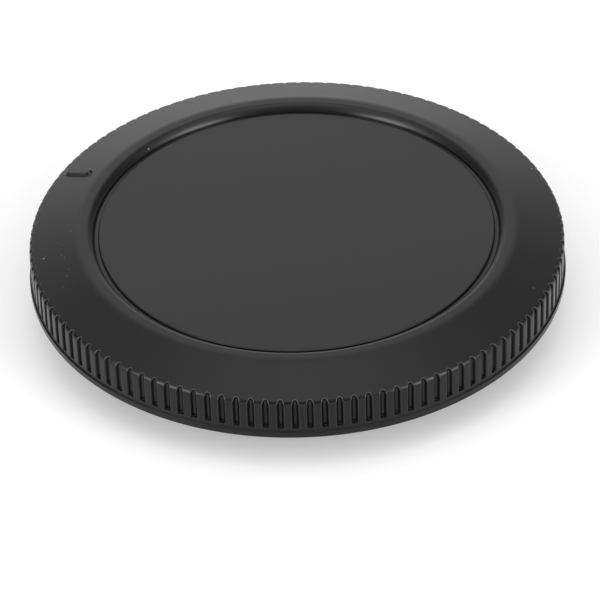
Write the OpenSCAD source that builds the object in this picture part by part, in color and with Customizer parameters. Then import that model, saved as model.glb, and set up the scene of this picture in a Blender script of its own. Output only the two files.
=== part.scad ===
// Camera body cap: one black moulding, front face up, resting on the end of its bayonet collar.
// The origin is the centre of the collar's end, +Z points out of the front face and the raised
// index mark points along +Y. All sizes are in millimetres.

/* [Grip] */
// Diameter of the plain band round the foot of the grip
grip_d = 65; // [63:0.5:72]
// How far the rib faces stand back from the plain band
rib_setback = 0.2; // [0.1:0.05:0.4]
// Number of grooves round the grip
groove_count = 118; // [60:1:130]
// Width of a groove at its mouth
groove_w = 0.86; // [0.5:0.02:1]
// Width of a groove at its floor
groove_floor_w = 0.4; // [0.2:0.02:0.6]
// Depth of a groove behind the rib faces
groove_depth = 0.35; // [0.32:0.01:0.6]
// Angle from the index mark to the groove beside it
first_groove = 1.7; // [0:0.1:3]
// Height of the plain band
band_h = 0.85; // [0.5:0.05:1.5]
// Height of the plain strip between the band and the groove ends
strip_h = 0.45; // [0.2:0.05:1]
// Chamfer on the bottom edge of the band
band_chamfer = 0.05; // [0.05:0.05:0.4]

/* [Shoulder] */
// Radius that rounds each rib over into the slope
shoulder_r = 0.75; // [0.6:0.05:1]
// How far in the shoulder reaches before the slope starts
shoulder_in = 0.3; // [0.2:0.02:0.31]

/* [Front face] */
// Height from the bottom of the skirt to the flat ring
front_h = 6.65; // [5.5:0.05:9]
// Width of the slope between the shoulder and the flat ring
slope_w = 5.5; // [4:0.1:6.5]
// Rise of the slope towards the flat ring
slope_rise = 1.55; // [0.8:0.05:2]
// Radius of the soft blend between the slope and the flat ring
blend_r = 3.2; // [1:0.1:5]
// Width of the flat ring
ring_w = 0.95; // [0.8:0.05:2.5]
// Radius of the lip that rolls from the flat ring into the recess
lip_r = 1.2; // [0.4:0.05:1.5]
// Width of the narrow moat round the disc
moat_w = 0.45; // [0.3:0.05:1]
// Depth of the disc below the flat ring
disc_drop = 0.7; // [0.3:0.05:1]
// Depth of the moat below the disc
moat_depth = 0.3; // [0.15:0.05:0.5]
// Chamfer on the edge of the disc
disc_chamfer = 0.12; // [0.02:0.01:0.14]

/* [Index mark] */
// Length of the index mark, along the slope
index_l = 3.6; // [2:0.1:4]
// Width of the index mark
index_w = 1.3; // [1:0.1:1.9]
// Height of the index mark above the slope
index_h = 0.3; // [0.2:0.05:0.8]
// Distance from the shoulder's inner edge to the middle of the index mark
index_inset = 2.45; // [2.3:0.05:3]

/* [Walls] */
// Thickness of the front wall below the moat and the slope
wall = 1.3; // [1:0.05:1.6]
// Thickness of the skirt behind the rib faces
skirt_wall = 1.3; // [1:0.05:1.6]
// Chamfer in the corners where the walls meet the underside
root = 0.4; // [0.1:0.05:0.6]

/* [Mount side] */
// Outside diameter of the bayonet collar
collar_d = 50.4; // [48:0.1:51]
// Thickness of the collar wall
collar_wall = 1.6; // [1.2:0.1:2.2]
// How far the collar reaches below the skirt
collar_reach = 4.5; // [3.5:0.1:6]
// Chamfer on both edges of the collar's end
collar_chamfer = 0.3; // [0.1:0.05:0.5]
// Width of the channel between the skirt and the seat rib
skirt_gap = 1.4; // [0.8:0.1:2]
// Width of the seat rib's face
seat_w = 1.4; // [1:0.1:1.6]
// How far the seat rib stands below the skirt
seat_proud = 0.3; // [0.1:0.05:0.6]
// Number of bayonet lugs
lug_count = 3; // [2:1:4]
// How far a lug stands out from the collar
lug_reach = 1.6; // [1:0.1:1.8]
// Thickness of a lug
lug_t = 1.4; // [1:0.1:1.6]
// Gap between the seat rib's face and the lugs, which takes the camera's mount ring
lug_gap = 1.8; // [1.5:0.05:1.9]
// Angle that one lug covers
lug_angle = 52; // [40:1:60]
// Angle that the ramp on a lug's leading end covers
ramp_angle = 8; // [4:1:12]
// How far the ramp drops at the leading end
ramp_drop = 0.6; // [0.2:0.05:0.8]
// Angle that the turning stop covers, near the trailing end of the first lug
stop_angle = 4; // [2:1:8]
// Angle between the turning stop and the lug's trailing end
stop_inset_angle = 1; // [0.5:0.5:4]
// How far the turning stop stands in from the lug's rim
stop_inset = 0.2; // [0.1:0.05:0.5]
// Diameter of the moulding gate's dimple on the inside
gate_d = 4; // [2:0.5:8]
// Depth of the moulding gate's dimple
gate_depth = 0.25; // [0.1:0.05:0.4]

/* [Hidden] */
$fn = 108;
// Overlap that makes two pieces of the moulding one solid, and that takes a cut clear of a face
lap = 0.5;
// How far a groove keeps widening outside the rib faces
groove_lap = 0.1;
turn = 360;
// The index mark lies along +Y
index_at = 90;

// Radii, from the outside in
grip_r = grip_d / 2;
rib_r = grip_r - rib_setback;
slope_r = rib_r - shoulder_in;
ring_out_r = slope_r - slope_w;
ring_in_r = ring_out_r - ring_w;
skirt_in_r = rib_r - skirt_wall;
groove_floor_r = rib_r - groove_depth;
collar_r = collar_d / 2;
collar_in_r = collar_r - collar_wall;
seat_out_r = skirt_in_r - skirt_gap;
seat_in_r = seat_out_r - seat_w;

// Heights, from the end of the collar up
skirt_z = collar_reach;
step_z = skirt_z + band_h;
groove_z = step_z + strip_h;
ring_z = skirt_z + front_h;
slope_z = ring_z - slope_rise;
disc_z = ring_z - disc_drop;
moat_z = disc_z - moat_depth;
seat_z = skirt_z - seat_proud;
lug_top_z = seat_z - lug_gap;
lug_z = lug_top_z - lug_t;
slope_angle = atan(slope_rise / slope_w);

// The lip is an arc from the flat ring to the moat, with an upright wall below it where the moat is deeper
lip_c = [ring_in_r, ring_z - lip_r];
lip_low = asin(max(0, moat_z - lip_c.y) / lip_r);
moat_r = lip_c.x - lip_r * cos(lip_low);
disc_r = moat_r - moat_w;
lip_wall = lip_c.y > moat_z ? [[moat_r, moat_z]] : [];

// The underside is flat behind the moat, and runs parallel to the slope behind the slope
under_z = moat_z - wall;
function slope_under_z(r) = slope_z + (slope_r - r) * tan(slope_angle) - wall / cos(slope_angle);

// Points of an arc about a centre
function arc(centre, r, from, to, steps) =
    [for (i = [0 : steps])
        let (a = from + (to - from) * i / steps)
        centre + r * [cos(a), sin(a)]];

// The shoulder starts upright on the rib and ends where the slope starts
shoulder_end = acos((shoulder_r - shoulder_in) / shoulder_r);
shoulder_c = [rib_r - shoulder_r, slope_z - shoulder_r * sin(shoulder_end)];
// The blend touches the slope and the flat ring
blend_c = [ring_out_r - blend_r * tan(slope_angle / 2), ring_z - blend_r];

// Half section of the front, filled down to the bottom of the skirt
module front_outline() {
    polygon(concat(
        [[0, skirt_z], [0, disc_z], [disc_r - disc_chamfer, disc_z], [disc_r, disc_z - disc_chamfer]],
        [[disc_r, moat_z]], lip_wall,
        arc(lip_c, lip_r, 180 - lip_low, 90, 5),
        arc(blend_c, blend_r, 90, 90 - slope_angle, 3),
        [[slope_r, slope_z]],
        arc(shoulder_c, shoulder_r, shoulder_end, 0, 3),
        [[rib_r, step_z], [grip_r, step_z - rib_setback / 2]],
        [[grip_r, skirt_z + band_chamfer], [grip_r - band_chamfer, skirt_z]]
    ));
}

// Half section of the space behind the front wall, inside the skirt
module under_space() {
    intersection() {
        square([skirt_in_r, under_z]);
        polygon([[0, 0], [skirt_in_r, 0], [skirt_in_r, slope_under_z(skirt_in_r)], [0, slope_under_z(0)]]);
    }
}

module front_wall() {
    rotate_extrude()
        difference() {
            front_outline();
            under_space();
        }
}

// One groove: narrow at its floor, running out through the shoulder at the top
module groove() {
    flare = (groove_w - groove_floor_w) / 2 / groove_depth;
    mouth_r = rib_r + groove_lap;
    mouth_half = groove_w / 2 + flare * groove_lap;
    translate([0, 0, groove_z])
        linear_extrude(slope_z - groove_z + lap)
            polygon([
                [groove_floor_r, -groove_floor_w / 2],
                [mouth_r, -mouth_half],
                [grip_r + lap, -mouth_half],
                [grip_r + lap, mouth_half],
                [mouth_r, mouth_half],
                [groove_floor_r, groove_floor_w / 2]
            ]);
}

module grooves() {
    for (i = [0 : groove_count - 1])
        rotate(index_at + first_groove + i * turn / groove_count)
            groove();
}

// A raised bar with round ends that lies on the slope
module index_mark() {
    half_straight = (index_l - index_w) / 2;
    rotate(index_at)
        translate([slope_r - index_inset, 0, slope_z + index_inset * tan(slope_angle)])
            rotate([0, slope_angle, 0])
                translate([0, 0, -lap])
                    linear_extrude(index_h + lap) {
                        square([2 * half_straight, index_w], center = true);
                        for (side = [-1, 1])
                            translate([side * half_straight, 0])
                                circle(d = index_w, $fn = 32);
                    }
}

// The collar that goes into the camera's mount
module collar() {
    rotate_extrude()
        polygon([
            [collar_in_r, collar_chamfer],
            [collar_in_r + collar_chamfer, 0],
            [collar_r - collar_chamfer, 0],
            [collar_r, collar_chamfer],
            [collar_r, under_z - root],
            [collar_r + root + lap, under_z + lap],
            [collar_in_r - root - lap, under_z + lap],
            [collar_in_r, under_z - root]
        ]);
}

// The rib whose face lies on the camera's mount ring
module seat_rib() {
    rotate_extrude()
        translate([seat_in_r, seat_z])
            square([seat_w, under_z - seat_z + lap]);
}

// One bayonet lug, from its leading end at angle 0, with a ramp that guides it under the mount ring
module lug() {
    difference() {
        rotate_extrude(angle = lug_angle)
            translate([collar_r - lap, lug_z])
                square([lug_reach + lap, lug_t]);
        rotate(ramp_angle)
            translate([collar_r - 2 * lap, 0, lug_top_z])
                rotate([atan(ramp_drop / (collar_r * sin(ramp_angle))), 0, 0])
                    translate([0, -collar_r / 2, 0])
                        cube([collar_r / 2, collar_r / 2, lug_t]);
    }
}

// The stop that ends the turn: a wall from the lug up to the underside, just inside the lug's outline
module turning_stop() {
    rotate(lug_angle - stop_angle - stop_inset_angle)
        rotate_extrude(angle = stop_angle)
            translate([collar_r - lap, lug_top_z - lap])
                square([lug_reach - stop_inset + lap, under_z - lug_top_z + 2 * lap]);
}

module lugs() {
    for (i = [0 : lug_count - 1])
        rotate(index_at + i * turn / lug_count - lug_angle / 2)
            lug();
    rotate(index_at - lug_angle / 2)
        turning_stop();
}

module gate_dimple() {
    translate([0, 0, under_z - lap])
        cylinder(d = gate_d, h = gate_depth + lap, $fn = 32);
}

module cap() {
    color([0.05, 0.05, 0.055])
        difference() {
            union() {
                front_wall();
                index_mark();
                collar();
                seat_rib();
                lugs();
            }
            grooves();
            gate_dimple();
        }
}

cap();
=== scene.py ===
# %% [markdown]
# # A camera body cap in black moulded plastic
# This lesson builds the round lid that closes the lens mount of a camera when no lens is on it.
# The lid is one injection moulding: a sunk disc, a flat ring, a slope and a ribbed grip in front,
# and a collar with three bayonet lugs behind. The measured part is loaded first and never changed,
# so that the detailed shape made here has fixed heights and radii to agree with.

# %% Load the measured part
import math

import bmesh
import bpy
from mathutils import Matrix, Vector


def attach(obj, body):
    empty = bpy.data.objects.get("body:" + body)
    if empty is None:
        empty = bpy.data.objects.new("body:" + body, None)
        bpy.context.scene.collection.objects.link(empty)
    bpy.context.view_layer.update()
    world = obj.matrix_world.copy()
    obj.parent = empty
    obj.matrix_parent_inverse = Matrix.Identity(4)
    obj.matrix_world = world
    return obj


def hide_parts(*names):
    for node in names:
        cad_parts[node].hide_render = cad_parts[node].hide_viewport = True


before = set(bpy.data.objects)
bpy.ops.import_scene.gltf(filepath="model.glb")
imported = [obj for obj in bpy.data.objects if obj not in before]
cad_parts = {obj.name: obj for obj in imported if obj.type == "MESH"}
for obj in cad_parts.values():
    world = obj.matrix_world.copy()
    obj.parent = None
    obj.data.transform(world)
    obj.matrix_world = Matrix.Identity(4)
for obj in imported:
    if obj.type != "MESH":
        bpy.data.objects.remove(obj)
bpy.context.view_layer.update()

# %% [markdown]
# ## Sizes
# A moulding is drawn as a half section: a line of radii and heights that is turned round the axis.
# The sizes could be read off the loaded mesh, but then nobody could tell a rib from a chamfer.
# Named values say what each one is. They are in millimetres, the unit of the mould maker, and are
# turned into metres only when a point of the mesh is made. Height 0 is the end of the collar.

# %% Sizes of the front and the grip
MM = 0.001
disc_r = 23.92
disc_z = 10.45
moat_z = 10.15
ring_in_r = 25.38
lip_top_radius = 0.75
lip_wall_radius = 1.56
lip_break = math.radians(38)
ring_z = 11.15
ring_out_r = 26.5
blend_radius = 3.2
slope_r = 32.0
slope_z = 9.6
shoulder_radius = 0.75
shoulder_in = 0.3
rib_r = 32.3
grip_r = 32.5
skirt_z = 4.5
step_z = 5.35
step_rise = 0.1
band_chamfer = 0.05
slope_fall = (ring_z - slope_z) / (slope_r - ring_out_r)
slope_angle = math.atan(slope_fall)
print("the slope falls", round(math.degrees(slope_angle), 2), "degrees")

# %% Sizes of the mount side
skirt_in_r = 31.0
under_z = 8.85
front_wall = 1.3
seat_out_r = 29.6
seat_in_r = 28.2
seat_z = 4.2
collar_r = 25.2
collar_in_r = 23.6
collar_chamfer = 0.3
root = 0.4
gate_r = 2.0
gate_depth = 0.25
skirt_top_z = slope_z + (slope_r - skirt_in_r) * slope_fall - front_wall / math.cos(slope_angle)
under_r = skirt_in_r - (under_z - skirt_top_z) / slope_fall
print("the underside is flat out to radius", round(under_r, 2))

# %% [markdown]
# ## Soft corners
# No corner of a moulding is sharp, because the cutter that makes the mould has a radius, and the
# thin lines of light along those corners are most of what an eye sees on a black object. A bevel
# modifier could round every edge by one amount. Here each corner of the section is given its own
# radius instead, as on a workshop drawing, so a tight edge stays tight and the lip stays round.

# %% Helper: round the corners of a section
ARC_STEPS = 3


def rounded(corners, steps=ARC_STEPS):
    """Radius and height points along corners of (radius, height, corner radius)."""
    points = [Vector(corners[0][:2])]
    for before, corner, after in zip(corners, corners[1:], corners[2:]):
        at = Vector(corner[:2])
        if corner[2] == 0:
            points.append(at)
            continue
        back = (Vector(before[:2]) - at).normalized()
        ahead = (Vector(after[:2]) - at).normalized()
        half = back.angle(ahead) / 2
        centre = at + (back + ahead).normalized() * corner[2] / math.sin(half)
        spoke = at + back * corner[2] / math.tan(half) - centre
        turn = math.pi - 2 * half
        side = math.copysign(1, back.x * ahead.y - back.y * ahead.x)
        count = max(steps, round(steps * corner[2] / shoulder_radius))
        for step in range(count + 1):
            points.append(centre + Matrix.Rotation(-side * turn * step / count, 2) @ spoke)
    points.append(Vector(corners[-1][:2]))
    return points


def arc(centre, radius, start, end, steps):
    """Points of an arc about a centre, between two angles in radians."""
    points = []
    for step in range(steps + 1):
        angle = start + (end - start) * step / steps
        points.append(centre + radius * Vector((math.cos(angle), math.sin(angle))))
    return points


sample = rounded([(0, 0, 0), (1, 0, 0.2), (1, 1, 0)])
print("a rounded corner has", len(sample), "points, the middle one at", tuple(sample[2]))

# %% [markdown]
# ## Section of the front
# From the middle outwards, the real cap has a flat sunk disc, a narrow moat, a rounded lip, a flat
# ring that is touched when the cap is turned over, and a slope down to the grip. The lip and the
# blend between ring and slope are large radii that show as soft bands of light. The rest of the
# corners are about a tenth of a millimetre.

# %% Front section, from the disc to the slope
fine_corner = 0.1
disc_corner = 0.18
support = 0.05
slope_join_r = 31.5
slope_step = 0.5


def slope_height(radius):
    """Height of the slope at a radius."""
    return slope_z + (slope_r - radius) * slope_fall


upright = math.pi / 2
lip_top = arc(Vector((ring_in_r, ring_z - lip_top_radius)), lip_top_radius, upright + lip_break, upright, 6)
wall_centre = lip_top[0] - lip_wall_radius * Vector((-math.sin(lip_break), math.cos(lip_break)))
lip_foot = math.acos((moat_z - wall_centre.y) / lip_wall_radius)
lip_wall = arc(wall_centre, lip_wall_radius, upright + lip_foot, upright + lip_break, 6)
lip = lip_wall + lip_top[1:]
moat_r = lip[0].x
moat_edge = rounded([
    (disc_r - disc_corner - 2 * support, disc_z, 0),
    (disc_r - disc_corner - support, disc_z, 0),
    (disc_r, disc_z, disc_corner),
    (disc_r, moat_z, fine_corner / 2),
    (moat_r, moat_z, fine_corner / 2),
    (lip[1].x, lip[1].y, 0),
])
blend = rounded([
    (ring_in_r, ring_z, 0),
    (ring_in_r + support, ring_z, 0),
    (ring_out_r, ring_z, blend_radius),
    (slope_join_r, slope_height(slope_join_r), 0),
])
front_section = moat_edge + lip[2:] + blend[1:-1]
slope_rows = math.floor((slope_join_r - front_section[-1].x) / slope_step)
for row in range(slope_rows, -1, -1):
    radius = slope_join_r - row * slope_step
    front_section.append(Vector((radius, slope_height(radius))))
print("front section:", len(front_section), "points")

# %% [markdown]
# ## Section of the grip and the mount side
# The grip ends in a plain band with a chamfered foot. Behind it the moulding is hollow: the skirt,
# a rib that lies on the camera's mount ring, and the collar are thin walls that stand under the
# front, so the plastic is about as thick everywhere and cools without sink marks.

# %% Skirt, seat rib and underside sections
strip_join_z = 5.5
edge_corner = 0.06
root_corner = 0.12
collar_join_r = 27.6

skirt_section = rounded([
    (rib_r, strip_join_z, 0),
    (rib_r, step_z, edge_corner / 2),
    (grip_r, step_z - step_rise, edge_corner),
    (grip_r, skirt_z + band_chamfer, edge_corner),
    (grip_r - band_chamfer, skirt_z, edge_corner),
    (skirt_in_r, skirt_z, fine_corner),
    (skirt_in_r, skirt_top_z, fine_corner),
    (under_r, under_z, edge_corner),
    (seat_out_r, under_z, fine_corner),
    (seat_out_r, seat_z, root_corner),
    (seat_in_r, seat_z, root_corner),
    (seat_in_r, under_z, root_corner),
    (collar_join_r, under_z, 0),
])
print("skirt section:", len(skirt_section), "points")

# %% [markdown]
# ## Rings of points
# A turned section becomes a mesh when every point of it is repeated round the axis, one ring of
# vertices for each point, and neighbouring rings are joined by faces. A Screw modifier does this
# for a plain section. This cap needs rings of different counts, many round the grooved grip and
# few on the plain underside, so the rings are made in code, with a helper that joins any two.

# %% Helpers: make a ring, join two rings
cap_mesh = bmesh.new()
# Painted highlight: how much paler the colour is along the groove edges.
painted_highlight = cap_mesh.verts.layers.float.new("painted_edge_highlight")
# How much less each point reflects: a little on the grip, most on the groove walls and the step under the
# grooves, where it is painted shade.
dull_and_painted_shade = cap_mesh.verts.layers.float.new("dull_and_painted_shade")


def ring(points, angles):
    """Vertices at radius and height points, one for each angle in radians."""
    made = []
    for (radius, height), angle in zip(points, angles):
        place = (radius * math.cos(angle), radius * math.sin(angle), height)
        made.append(cap_mesh.verts.new(Vector(place) * MM))
    return made


def join(first, first_angles, second, second_angles):
    """Faces between two rings. Rings of the same count get quads, others are zipped with triangles."""
    count = len(first)
    if count == len(second):
        for i in range(count):
            after = (i + 1) % count
            cap_mesh.faces.new((first[i], first[after], second[after], second[i]))
        return
    i = j = 0
    while i < len(first) or j < len(second):
        next_first = first_angles[i + 1] if i + 1 < len(first) else first_angles[0] + math.tau
        next_second = second_angles[j + 1] if j + 1 < len(second) else second_angles[0] + math.tau
        here, there = first[i % len(first)], second[j % len(second)]
        if j == len(second) or (i < len(first) and next_first <= next_second):
            cap_mesh.faces.new((here, first[(i + 1) % len(first)], there))
            i += 1
        else:
            cap_mesh.faces.new((here, second[(j + 1) % len(second)], there))
            j += 1


def turned(section, angles, start=None, start_angles=None, dull_and_painted_shade_rows=None):
    """Turns a section round the axis, joined on to the ring that it starts from."""
    for row, point in enumerate(section):
        made = ring([point] * len(angles), angles)
        for vertex in made:
            vertex[dull_and_painted_shade] = dull_and_painted_shade_rows[row] if dull_and_painted_shade_rows else 0.0
        if start is not None:
            join(start, start_angles, made, angles)
        start, start_angles = made, angles
    return start


# %% [markdown]
# ## Grooves of the grip
# A hundred and eighteen grooves give the fingers their hold. Each is narrow at its floor and wide
# at its mouth, closed at the foot, and runs out through the shoulder at the top. They could be cut
# with a Boolean for each groove, which leaves knife-sharp edges. A moulded rib has softened
# edges, so the surface is worked out point by point: at each place it is the lower of the plain
# section and the groove, and a smooth minimum rounds the edge between the two.

# %% Groove sizes and the columns of points that follow them
groove_count = 118
first_groove = math.radians(91.7)
groove_pitch = math.tau / groove_count
groove_half = 0.43
floor_half = 0.16
groove_depth = 0.4
floor_dip = 0.035
groove_foot_z = 5.74
foot_run = 0.04
softness = 0.1
floor_r = rib_r - groove_depth
wall_steepness = groove_depth / (groove_half - floor_half)

side_columns = [0.1, 0.17, 0.24, 0.31, 0.38, 0.43, 0.48, 0.56]
column_offsets = [-u for u in reversed(side_columns)] + [0.0] + side_columns
groove_angles = [first_groove + i * groove_pitch for i in range(groove_count)]
grip_angles = []
grip_offsets = []
for middle in groove_angles:
    grip_angles += [middle + u / rib_r for u in column_offsets] + [middle + groove_pitch / 2]
    grip_offsets += [abs(u) for u in column_offsets] + [groove_pitch / 2 * rib_r]
print("columns round the grip:", len(grip_angles))

# %% Depth of the grip's surface
def soft_min(a, b, width):
    """The smaller of two values, rounded over where they are about equal."""
    near = max(width - abs(a - b), 0) / width
    return min(a, b) - near * near * width / 4


def groove_radius(offset, height):
    """Radius of one groove's surface at a distance from its middle line."""
    wall = floor_r + (offset - floor_half) * wall_steepness
    bottom = floor_r - floor_dip * (1 - offset / floor_half)
    across = -soft_min(-wall, -bottom, softness / 2)
    foot = rib_r - (height - groove_foot_z) / foot_run * groove_depth
    return -soft_min(-across, -foot, softness / 2)


print("groove floor radius:", round(groove_radius(0, slope_z), 3))

# %% Rows of the grip, from the slope down to the strip under the grooves
shoulder_end = math.acos((shoulder_radius - shoulder_in) / shoulder_radius)
shoulder_centre = Vector((rib_r - shoulder_radius, slope_z - shoulder_radius * math.sin(shoulder_end)))
shoulder_steps = 7
edge_rows = [31.62, 31.78, 31.88, 31.94, 31.97]
foot_rows = [6.1, 5.97, 5.89, 5.84, 5.8, 5.76, 5.72, 5.66, 5.58]

grip_section = [Vector((radius, slope_height(radius))) for radius in edge_rows]
grip_section += arc(shoulder_centre, shoulder_radius, shoulder_end, 0, shoulder_steps)
grip_section.append(Vector((rib_r, shoulder_centre.y - shoulder_in)))
grip_section += [Vector((rib_r, height)) for height in foot_rows]
print("rows down the grip:", len(grip_section))

# %% [markdown]
# ## Bayonet lugs and turning stop
# Three lugs on the collar slide under the camera's mount ring, each with a ramp on its leading
# end, and a wall at one lug stops the turn. They could be separate bars joined on. Here the collar
# itself changes section as it goes round: at a lug its points move out to the lug's rim, and a
# few close columns at each end make the end face. So collar and lugs stay one skin.

# %% Lug sizes
lug_count = 3
lug_half_angle = math.radians(26)
lug_middle = math.radians(90)
lug_low_z = 1.0
lug_top_z = 2.4
lug_r = 26.8
lug_corner = 0.15
lug_root = 0.15
ramp_angle = math.radians(8)
ramp_drop = 0.6
stop_start = math.radians(111)
stop_end = math.radians(115)
stop_r = 26.6
end_run = 0.12 / collar_r
plain_columns = 2 * groove_count


# %% Columns round the collar
def end_columns(angle, inward):
    """Close columns that make a lug's or the stop's end face. Inward is 1 where it starts, -1 where it ends."""
    return [angle + inward * end_run * share for share in (-1, 0, 0.25, 1, 2)]


lug_starts = [lug_middle + i * math.tau / lug_count - lug_half_angle for i in range(lug_count)]
special = []
for start in lug_starts:
    special += end_columns(start, 1)
    special += end_columns(start + 2 * lug_half_angle, -1)
    special.append(start + ramp_angle)
special += end_columns(stop_start, 1) + end_columns(stop_end, -1)
clear_of = 2 * end_run
collar_angles = list(special)
for i in range(plain_columns):
    angle = lug_starts[0] + i * math.tau / plain_columns
    apart = [abs((angle - other + math.pi) % math.tau - math.pi) for other in special]
    if min(apart) > clear_of:
        collar_angles.append(angle)
collar_angles = sorted(lug_starts[0] + (angle - lug_starts[0]) % math.tau for angle in collar_angles)
print("columns round the collar:", len(collar_angles))


# %% How much of a lug or the stop each column has
def share_of(angle, start, end):
    """0 outside a lug, 1 inside it, with a steep, rounded step at each end."""
    into = min((angle - start) % math.tau, (end - angle) % math.tau)
    if (angle - start) % math.tau > (end - start) % math.tau:
        return 0.0
    steps = ((0, 0.06), (0.25 * end_run, 0.92), (end_run, 1.0))
    for (a, low), (b, high) in zip(steps, steps[1:]):
        if into <= b * 1.001:
            return low + (high - low) * (into - a) / (b - a)
    return 1.0


def lug_share(angle):
    """Share of a lug at an angle round the collar."""
    return max(share_of(angle, start, start + 2 * lug_half_angle) for start in lug_starts)


def lug_top(angle):
    """Height of the lug's upper face, lower on the ramp."""
    into = min((angle - start) % math.tau for start in lug_starts)
    return lug_top_z - ramp_drop * max(0.0, 1 - into / ramp_angle)


print("share just inside a lug:", lug_share(lug_starts[1] + 2 * end_run))

# %% [markdown]
# The collar's outer wall has the same number of points in every column, with three sets of places
# for them: the plain wall, a wall with a lug, and a wall with the stop. Each column mixes the
# sets by its share of each. Where the sets differ, the skin stretches from one to the other, and
# that stretch is the end face.

# %% Points of the collar's outer wall for one column
def plain_wall():
    """The plain wall, with its points spread where the lug's points need them."""
    heights = (under_z, under_z - root, 2.8, 2.68, 2.56, 2.44, 2.32, 2.2, 1.35, 1.22, 1.1, 1.0, 0.9, 0.8)
    points = [Vector((collar_r, height)) for height in heights]
    points[0].x = collar_r + root
    return points


def lug_wall(top):
    """The wall with a lug that ends at a height."""
    bend = lug_corner * (1 - math.sqrt(0.5))
    return [
        Vector((collar_r + root, under_z)),
        Vector((collar_r, under_z - root)),
        Vector((collar_r, top + lug_root)),
        Vector((collar_r + bend, top + bend)),
        Vector((collar_r + lug_root, top)),
        Vector((lug_r - lug_corner, top)),
        Vector((lug_r - bend, top - bend)),
        Vector((lug_r, top - lug_corner)),
        Vector((lug_r, lug_low_z + lug_corner)),
        Vector((lug_r - bend, lug_low_z + bend)),
        Vector((lug_r - lug_corner, lug_low_z)),
        Vector((collar_r + lug_root, lug_low_z)),
        Vector((collar_r + bend, lug_low_z - bend)),
        Vector((collar_r, lug_low_z - lug_root)),
    ]


def stop_wall():
    """The wall with the stop, which runs from the lug up to the underside."""
    points = lug_wall(lug_top_z)
    points[0].x = stop_r + root / 2
    points[1] = Vector((stop_r, under_z - root / 2))
    points[2] = Vector((stop_r, lug_top_z + lug_root))
    points[3] = Vector((stop_r, lug_top_z + lug_root / 2))
    points[4] = Vector((stop_r, lug_top_z + fine_corner / 2))
    points[5] = Vector((stop_r + fine_corner / 2, lug_top_z))
    return points


def collar_wall(angle):
    """The wall's points at an angle."""
    share = lug_share(angle)
    points = [a.lerp(b, share) for a, b in zip(plain_wall(), lug_wall(lug_top(angle)))]
    stop = share_of(angle, stop_start, stop_end)
    return [a.lerp(b, stop) for a, b in zip(points, stop_wall())]


print("points in one column of the wall:", len(plain_wall()))

# %% [markdown]
# ## Put the skin together
# The rings are made in order along the section: disc, moat, lip, ring, slope, grip, band, skirt,
# seat rib, collar, and back under the front to the middle, where the moulding gate has left a
# small dimple. Two single faces close the disc and the dimple, so the skin has no hole.

# %% Front and grip
fine_columns = 4
front_angles = [
    middle + k * groove_pitch / fine_columns for middle in groove_angles for k in range(fine_columns)
]
disc_edge = ring([front_section[0]] * len(front_angles), front_angles)
cap_mesh.faces.new(disc_edge)
last = turned(front_section[1:], front_angles, disc_edge, front_angles)
last_angles = front_angles

# Painted highlight along the groove edges: where it lies, how wide it is, how much of it the ribs get.
highlight_middle = 0.02
highlight_width = 0.08
highlight_on_ribs = 0.25
rib_top_z = 9.25
# How much less the grip and the step reflect; on the step it is painted shade.
grip_dull = 0.47
step_painted_shade = 0.6
polish_low_z = 9.0
polish_high_z = 9.5
for radius, height in grip_section:
    grooves = [groove_radius(offset, height) for offset in grip_offsets]
    surface = [(soft_min(radius, groove, softness), height) for groove in grooves]
    made = ring(surface, grip_angles)
    polish = min(max((height - polish_low_z) / (polish_high_z - polish_low_z), 0), 1)
    for vertex, groove in zip(made, grooves):
        # Painted highlight: the colour is made paler along each groove's edge, fully on the shoulder and a
        # quarter as much on the ribs below.
        near = max(0, 1 - abs(groove - radius - highlight_middle) / highlight_width)
        vertex[painted_highlight] = near if height > rib_top_z else near * highlight_on_ribs
        # The groove walls reflect least, most of all at half depth: painted shade inside the grooves.
        depth = min(max((radius - groove) / groove_depth, 0), 1)
        vertex[dull_and_painted_shade] = max(grip_dull * (1 - polish), min(1, 2 * (1 - abs(2 * depth - 1))))
    join(last, last_angles, made, grip_angles)
    last, last_angles = made, grip_angles
print("points after the grip:", len(cap_mesh.verts))

# %% Skirt, seat rib and collar
skirt_angles = [middle + k * groove_pitch / 2 for middle in groove_angles for k in range(2)]
# The band's rows reflect as little as the grip, and the inner corner of the step under the grooves less still:
# painted shade along the step.
skirt_dull_and_painted_shade = [grip_dull if radius > rib_r - fine_corner else 0.0 for radius, height in skirt_section]
skirt_dull_and_painted_shade[1:ARC_STEPS + 2] = [step_painted_shade] * (ARC_STEPS + 1)
last = turned(skirt_section, skirt_angles, last, last_angles, skirt_dull_and_painted_shade)

walls = [collar_wall(angle) for angle in collar_angles]
last_angles = skirt_angles
for row in range(len(walls[0])):
    made = ring([wall[row] for wall in walls], collar_angles)
    join(last, last_angles, made, collar_angles)
    last, last_angles = made, collar_angles
print("points after the collar's outer wall:", len(cap_mesh.verts))

# %% Collar end, inside and gate dimple
inside_section = rounded([
    (collar_r, lug_low_z - 2 * lug_root, 0),
    (collar_r, collar_chamfer, edge_corner),
    (collar_r - collar_chamfer, 0, edge_corner),
    (collar_in_r + collar_chamfer, 0, edge_corner),
    (collar_in_r, collar_chamfer, edge_corner),
    (collar_in_r, under_z - root, root_corner),
    (collar_in_r - root, under_z, root_corner),
    (collar_in_r - 2 * root, under_z, 0),
])
last = turned(inside_section, collar_angles, last, last_angles)

gate_columns = 48
gate_angles = [lug_starts[0] + i * math.tau / gate_columns for i in range(gate_columns)]
gate_section = rounded([
    (gate_r + root, under_z, 0),
    (gate_r, under_z, fine_corner),
    (gate_r, under_z + gate_depth, fine_corner),
    (gate_r - root, under_z + gate_depth, 0),
])
last = turned(gate_section, gate_angles, last, collar_angles)
cap_mesh.faces.new(last)
print("points of the whole skin:", len(cap_mesh.verts))

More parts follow.
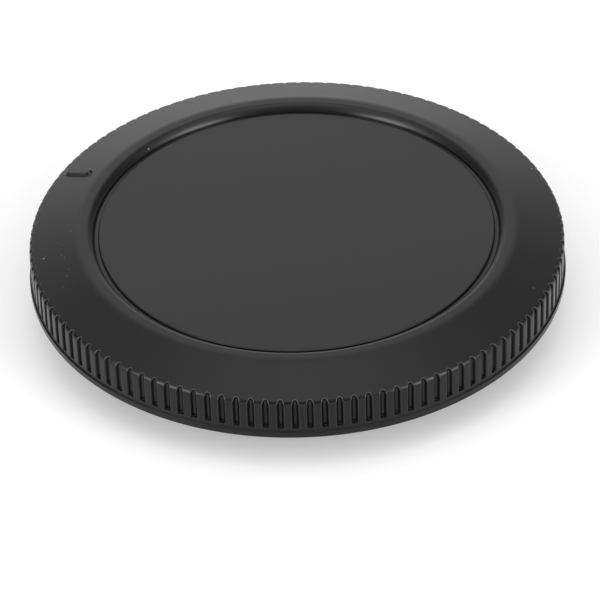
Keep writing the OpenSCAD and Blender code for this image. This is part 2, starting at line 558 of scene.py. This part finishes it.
# %% Check the skin and make it an object
bmesh.ops.recalc_face_normals(cap_mesh, faces=cap_mesh.faces)
open_edges = [edge for edge in cap_mesh.edges if len(edge.link_faces) != 2]
print("edges without two faces:", len(open_edges))
print("volume in cubic millimetres:", round(cap_mesh.calc_volume() / MM**3))

cap_data = bpy.data.meshes.new("cap_moulding")
cap_mesh.to_mesh(cap_data)
cap_mesh.free()
cap = bpy.data.objects.new("cap_moulding", cap_data)
bpy.context.scene.collection.objects.link(cap)

# %% [markdown]
# ## Index mark
# A small raised bar on the slope shows where the cap goes on to the camera. It is a stadium shape
# with a rolled edge, a little wider at its foot where it grows out of the slope. The bar is made
# as its own closed shell, pushed a little into the slope, and a Boolean union then makes the two
# one skin, as they are in the moulding.

# %% Index mark shell
mark_length = 3.6
mark_width = 1.3
mark_height = 0.3
mark_inset = 2.45
mark_sunk = 0.3
mark_foot = 0.08
mark_roll = 0.16
mark_points = 48


def stadium(radius):
    """Outline of a bar with round ends, along X."""
    straight = (mark_length - mark_width) / 2
    outline = []
    for i in range(mark_points):
        angle = (i + 0.5) * math.tau / mark_points
        end = math.copysign(straight, math.cos(angle))
        outline.append(Vector((end + radius * math.cos(angle), radius * math.sin(angle), 0)))
    return outline


mark_r = mark_width / 2
roll_steps = 5
mark_rows = [(mark_r + mark_foot, -mark_sunk)]
for step in range(roll_steps):
    angle = math.pi / 2 * step / roll_steps
    mark_rows.append((mark_r + mark_foot * (1 - math.sin(angle)), mark_foot * (1 - math.cos(angle))))
for step in range(roll_steps + 1):
    angle = math.pi / 2 * step / roll_steps
    mark_rows.append((
        mark_r - mark_roll + mark_roll * math.cos(angle),
        mark_height - mark_roll + mark_roll * math.sin(angle),
    ))

mark_mesh = bmesh.new()
rows = []
for radius, height in mark_rows:
    rows.append([mark_mesh.verts.new((p + Vector((0, 0, height))) * MM) for p in stadium(radius)])
for lower, upper in zip(rows, rows[1:]):
    for i in range(mark_points):
        after = (i + 1) % mark_points
        mark_mesh.faces.new((lower[i], lower[after], upper[after], upper[i]))
mark_mesh.faces.new(rows[0])
mark_mesh.faces.new(rows[-1])
bmesh.ops.recalc_face_normals(mark_mesh, faces=mark_mesh.faces)
print("index mark points:", len(mark_mesh.verts))

# %% Lay the mark on the slope and join it
mark_middle = slope_r - mark_inset
on_slope = (
    Matrix.Rotation(math.radians(90), 4, "Z")
    @ Matrix.Translation(Vector((mark_middle, 0, slope_height(mark_middle))) * MM)
    @ Matrix.Rotation(slope_angle, 4, "Y")
)
mark_data = bpy.data.meshes.new("index_mark_shell")
mark_mesh.transform(on_slope)
mark_mesh.to_mesh(mark_data)
mark_mesh.free()
mark = bpy.data.objects.new("index_mark_shell", mark_data)
bpy.context.scene.collection.objects.link(mark)

union = cap.modifiers.new("Index mark", "BOOLEAN")
union.operation = "UNION"
union.solver = "MANIFOLD"
union.object = mark

# %% [markdown]
# ## Smooth shading
# A large flat face next to a narrow rounded one takes up some of the bend of its neighbour, and
# then looks dented. Weighted normals let the large face win, so the flats look flat and only the
# narrow faces carry the curve. Both modifiers are then applied, which leaves one plain mesh.

# %% Weighted normals, then apply the modifiers
for face in cap.data.polygons:
    face.use_smooth = True
for face in mark.data.polygons:
    face.use_smooth = True
weights = cap.modifiers.new("Flat faces win", "WEIGHTED_NORMAL")
weights.mode = "FACE_AREA"
weights.weight = 50

shaped = bpy.data.meshes.new_from_object(cap.evaluated_get(bpy.context.evaluated_depsgraph_get()))
cap.modifiers.clear()
cap.data = shaped
bpy.data.objects.remove(mark)
cap.data.calc_loop_triangles()
print("triangles in the cap:", len(cap.data.loop_triangles))

# %% [markdown]
# ## Black moulded plastic
# The real surface is a dark neutral plastic with a satin skin: it mirrors the studio as soft
# bands and hides fine detail of what it mirrors. Its colour alone is nearly black, and almost
# all the light that an eye sees is the reflection, so roughness matters more than colour. A
# very fine grain and a slow change of roughness keep the large faces from looking drawn.

# %% Helper: a node with its settings
def node_in(tree, kind, **settings):
    """Adds a node and sets its properties."""
    node = tree.nodes.new(kind)
    for name, value in settings.items():
        setattr(node, name, value)
    return node


def set_inputs(node, values):
    """Sets or links inputs of a node by name."""
    for name, value in values.items():
        if isinstance(value, bpy.types.NodeSocket):
            node.id_data.links.new(value, node.inputs[name])
        else:
            node.inputs[name].default_value = value
    return node


def math_node(tree, operation, first, second):
    """Adds a Math node on two sockets or numbers and returns its output."""
    node = node_in(tree, "ShaderNodeMath", operation=operation)
    for socket, value in zip(node.inputs, (first, second)):
        if isinstance(value, bpy.types.NodeSocket):
            tree.links.new(value, socket)
        else:
            socket.default_value = value
    return node.outputs[0]


def mapped(tree, value, low, high, to_low, to_high):
    """Maps a value from one range to another, held at the ends."""
    node = node_in(tree, "ShaderNodeMapRange")
    set_inputs(node, {"Value": value, "From Min": low, "From Max": high, "To Min": to_low, "To Max": to_high})
    return node.outputs["Result"]


# %% Plastic, its grain and its roughness
plastic = bpy.data.materials.new("black_plastic")
plastic.use_nodes = True
tree = plastic.node_tree
shader = tree.nodes["Principled BSDF"]
place = node_in(tree, "ShaderNodeTexCoord").outputs["Object"]

grain_scale = 6000
grain = node_in(tree, "ShaderNodeTexNoise")
set_inputs(grain, {"Vector": place, "Scale": grain_scale, "Detail": 2})
bump = node_in(tree, "ShaderNodeBump")
set_inputs(bump, {"Height": grain.outputs["Fac"], "Strength": 0.06, "Distance": 2e-5})
set_inputs(shader, {"Normal": bump.outputs["Normal"]})

handling_scale = 130
handling = node_in(tree, "ShaderNodeTexNoise")
set_inputs(handling, {"Vector": place, "Scale": handling_scale, "Detail": 4})
set_inputs(shader, {"Roughness": mapped(tree, handling.outputs["Fac"], 0.35, 0.65, 0.22, 0.25)})
print("grain in millimetres:", round(1 / grain_scale / MM, 2))

# %% [markdown]
# ## Sheen of front and grip, painted shade and painted highlights
# The front reflects more than the grip. The groove walls and the step under the grooves reflect
# less still, which is painted shade where they lie in shadow. The edges of the grooves are made
# paler in colour, a painted highlight that is strongest at their pointed tops. Both follow the
# shape, so they were written on the skin's points as it was made and are read here, instead of
# being painted by hand.

# %% Sheen of front and grip, with painted shade on the groove walls and the step
front_sheen = 0.4
painted_shade_sheen = 0.06
dull_and_painted_shade_fac = node_in(tree, "ShaderNodeAttribute", attribute_name="dull_and_painted_shade").outputs["Fac"]
set_inputs(shader, {"Specular IOR Level": mapped(tree, dull_and_painted_shade_fac, 0, 1, front_sheen, painted_shade_sheen)})
print("sheen of the front and of the groove walls:", front_sheen, painted_shade_sheen)

# %% [markdown]
# ## Dust
# The photograph shows a cap that has been handled: a bright speck on the slope, one on the lip,
# a few faint ones in an arc and some single ones at the rim. They could be scattered at random,
# but here each has its own place, found in the photograph and given in millimetres on the part.

# %% Specks of dust
specks = [
    (-16.92, 25.57, 9.98, 0.13, 1.0),
    (-16.50, 25.57, 10.04, 0.1, 0.3),
    (-14.45, 24.34, 10.64, 0.12, 0.15),
    (-16.19, 23.50, 10.58, 0.1, 0.25),
    (-16.48, 22.96, 10.66, 0.1, 0.25),
    (-18.39, 21.33, 10.68, 0.12, 0.15),
    (-19.47, 21.05, 10.54, 0.12, 0.15),
    (-21.26, 20.60, 10.27, 0.12, 0.1),
    (-11.86, 24.52, 10.94, 0.1, 0.4),
    (7.23, 23.53, 10.76, 0.15, 1.0),
    (23.04, -21.20, 9.80, 0.13, 0.7),
    (0.67, -30.58, 10.00, 0.12, 0.25),
    (-22.46, -7.25, 10.30, 0.15, 0.4),
]
dust = 0.0
for x, y, z, size, strength in specks:
    away = node_in(tree, "ShaderNodeVectorMath", operation="DISTANCE")
    set_inputs(away, {0: place, 1: Vector((x, y, z)) * MM})
    spot = mapped(tree, away.outputs["Value"], 0, size * MM, 2 * strength, 0)
    dust = math_node(tree, "MAXIMUM", spot, dust)
dust = math_node(tree, "MINIMUM", dust, 1)
print("specks of dust:", len(specks))

# %% Colour, with a painted highlight on the groove edges, and dust
highlight_fac = node_in(tree, "ShaderNodeAttribute", attribute_name="painted_edge_highlight").outputs["Fac"]
highlighted = node_in(tree, "ShaderNodeMix", data_type="RGBA")
highlighted.inputs["Factor"].default_value = 0
tree.links.new(highlight_fac, highlighted.inputs[0])
highlighted.inputs[6].default_value = (0.0065, 0.0065, 0.0068, 1)
# The pale grey is the painted highlight along the groove edges.
highlighted.inputs[7].default_value = (0.12, 0.12, 0.12, 1)
dusty = node_in(tree, "ShaderNodeMix", data_type="RGBA")
tree.links.new(dust, dusty.inputs[0])
tree.links.new(highlighted.outputs[2], dusty.inputs[6])
dusty.inputs[7].default_value = (0.3, 0.3, 0.29, 1)
tree.links.new(dusty.outputs[2], shader.inputs["Base Color"])

cap.data.materials.clear()
cap.data.materials.append(plastic)
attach(cap, "root")
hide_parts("cap")
print("the cap is finished in", plastic.name)

# %% [markdown]
# ## Studio floor
# The cap lies on a plain pale floor, as in a product photograph. The floor takes the cap's shadow
# from the lights. A photographer would light the background on its own until it is nearly white.
# Here the floor gives the camera and the reflections a little light of its own instead, through
# Light Path, so that the floor is pale and no extra light falls on the cap. Seen from below, the
# floor is clear, so that the mount side can be looked at.

# %% Floor
floor_radius = 3.0
bpy.ops.mesh.primitive_circle_add(vertices=128, radius=floor_radius, fill_type="NGON")
floor = bpy.context.object
floor.name = "floor"
floor_paint = bpy.data.materials.new("floor_paint")
floor_paint.use_nodes = True
nodes = floor_paint.node_tree.nodes
links = floor_paint.node_tree.links
paint = nodes["Principled BSDF"]
paint.inputs["Base Color"].default_value = (0.9, 0.9, 0.9, 1)
paint.inputs["Roughness"].default_value = 0.9
paint.inputs["Specular IOR Level"].default_value = 0
floor.data.materials.append(floor_paint)
print("floor radius in metres:", floor_radius)

# %% Its own light, and its clear back
floor_lift = 0.23
ray = nodes.new("ShaderNodeLightPath").outputs
seen = math_node(floor_paint.node_tree, "MAXIMUM", ray["Is Camera Ray"], ray["Is Glossy Ray"])
seen = math_node(floor_paint.node_tree, "MAXIMUM", seen, ray["Is Transmission Ray"])
lift = nodes.new("ShaderNodeEmission")
links.new(math_node(floor_paint.node_tree, "MULTIPLY", seen, floor_lift), lift.inputs["Strength"])
lifted = nodes.new("ShaderNodeAddShader")
links.new(paint.outputs["BSDF"], lifted.inputs[0])
links.new(lift.outputs["Emission"], lifted.inputs[1])
clear = nodes.new("ShaderNodeBsdfTransparent")
side = nodes.new("ShaderNodeNewGeometry")
one_sided = nodes.new("ShaderNodeMixShader")
links.new(side.outputs["Backfacing"], one_sided.inputs["Fac"])
links.new(lifted.outputs["Shader"], one_sided.inputs[1])
links.new(clear.outputs["BSDF"], one_sided.inputs[2])
links.new(one_sided.outputs["Shader"], nodes["Material Output"].inputs["Surface"])
print("the floor's own light:", floor_lift)

# %% [markdown]
# ## Camera
# The photograph was taken from well above, with a long lens, so the cap's circles are nearly true
# ellipses. The camera is placed by where it looks from: a bearing, an elevation, a distance and a
# small roll. The index mark lies to the left and a little behind, as in the photograph.

# %% Camera
camera_bearing = math.radians(26.0185)
camera_elevation = math.radians(37.7902)
camera_roll = math.radians(-1.826)
camera_distance = 472.52
view_turn = math.radians(-63.95)
aim_side = 0.145
aim_depth = -13.18
aim = Matrix.Rotation(view_turn, 3, "Z") @ Vector((aim_side, aim_depth, slope_z))

ahead = Vector((
    math.cos(camera_elevation) * math.cos(camera_bearing),
    math.cos(camera_elevation) * math.sin(camera_bearing),
    -math.sin(camera_elevation),
))
level = ahead.cross(Vector((0, 0, 1))).normalized()
right = Matrix.Rotation(camera_roll, 3, -ahead) @ level
up = right.cross(ahead)
turn = Matrix((right, up, -ahead)).transposed()

camera_data = bpy.data.cameras.new("camera")
camera_data.lens = 240
camera_data.sensor_fit = "HORIZONTAL"
camera_data.sensor_width = 36
camera_data.clip_start = 0.01
camera_data.clip_end = 20
camera = bpy.data.objects.new("camera", camera_data)
camera.matrix_world = Matrix.Translation((aim - ahead * camera_distance) * MM) @ turn.to_4x4()
bpy.context.scene.collection.objects.link(camera)
bpy.context.scene.camera = camera
print("camera at", tuple(round(v, 4) for v in camera.matrix_world.translation))


# %% [markdown]
# ## Studio light
# A satin black thing shows the studio more than itself: the slope of the cap is pale at the back,
# where it mirrors a bright panel, and dark at the sides, where it mirrors the unlit room. Lamps
# with a hard outline would draw hard bands, so the large panels are painted on the world as
# patches that fade towards their edges. Two smaller soft boxes in front pick out the ribs.

# %% Directions round the cap
def towards(side, elevation):
    """Direction, in degrees to the right of straight ahead of the camera and degrees up."""
    angle = camera_bearing - math.radians(side)
    rise = math.radians(elevation)
    return Vector((
        math.cos(rise) * math.cos(angle),
        math.cos(rise) * math.sin(angle),
        math.sin(rise),
    ))


print("straight ahead of the camera:", tuple(round(v, 3) for v in towards(0, 0)))

# %% Panels painted on the world
room_light = 0.09
panels = {
    "behind the cap": (-4, 21, 8.2, 1.17),
    "over the cap": (0, 87, 11.4, 1.2),
    "between these two": (0, 58, 60, 0.3),
    "left wall": (-112, 50, 8, 0.9),
    "right wall": (112, 50, 8, 0.9),
    "patch on the left": (-121, 24, 26, 3.2),
    "patch on the right": (121, 24, 26, 3.2),
    "room in front": (180, 40, 5, 0.12),
}
world = bpy.data.worlds.new("studio")
world.use_nodes = True
tree = world.node_tree
direction = tree.nodes.new("ShaderNodeTexCoord").outputs["Generated"]
light = room_light
for name, (side, rise, sharpness, brightness) in panels.items():
    match = tree.nodes.new("ShaderNodeVectorMath")
    match.operation = "DOT_PRODUCT"
    match.label = name
    tree.links.new(direction, match.inputs[0])
    match.inputs[1].default_value = towards(side, rise)
    off = math_node(tree, "SUBTRACT", match.outputs["Value"], 1)
    fade = math_node(tree, "POWER", math.exp(sharpness), off)
    light = math_node(tree, "ADD", math_node(tree, "MULTIPLY", fade, brightness), light)
    print("panel", name, "is", brightness, "bright")

# %% Pale band along the horizon
band_top = 0.09
band_fade = 0.05
band_light = 0.85
height = tree.nodes.new("ShaderNodeSeparateXYZ")
tree.links.new(direction, height.inputs[0])
band = tree.nodes.new("ShaderNodeMapRange")
band.interpolation_type = "SMOOTHSTEP"
tree.links.new(height.outputs["Z"], band.inputs["Value"])
band.inputs["From Min"].default_value = band_top
band.inputs["From Max"].default_value = band_top - band_fade
band.inputs["To Max"].default_value = band_light
light = math_node(tree, "MAXIMUM", light, band.outputs["Result"])
backdrop = tree.nodes["Background"]
backdrop.inputs["Color"].default_value = (1, 1, 1, 1)
tree.links.new(light, backdrop.inputs["Strength"])
bpy.context.scene.world = world
bpy.context.scene.view_settings.view_transform = "Standard"
print("horizon band:", band_light)

# %% Soft boxes in front
box_size = 0.45
box_distance = 1.0
box_side = 130
box_rise = 20
box_brightness = 3.5
for name, side in (("soft_box_left", -box_side), ("soft_box_right", box_side)):
    lamp_data = bpy.data.lights.new(name, "AREA")
    lamp_data.shape = "DISK"
    lamp_data.size = box_size
    lamp_data.energy = box_brightness * math.pi * math.pi * (box_size / 2) ** 2
    lamp = bpy.data.objects.new(name, lamp_data)
    lamp.matrix_world = (
        Matrix.Translation(towards(side, box_rise) * box_distance)
        @ towards(side, box_rise).to_track_quat("Z", "Y").to_matrix().to_4x4()
    )
    lamp.visible_camera = False
    bpy.context.scene.collection.objects.link(lamp)
    print(name, "at", tuple(round(v, 2) for v in lamp.matrix_world.translation))
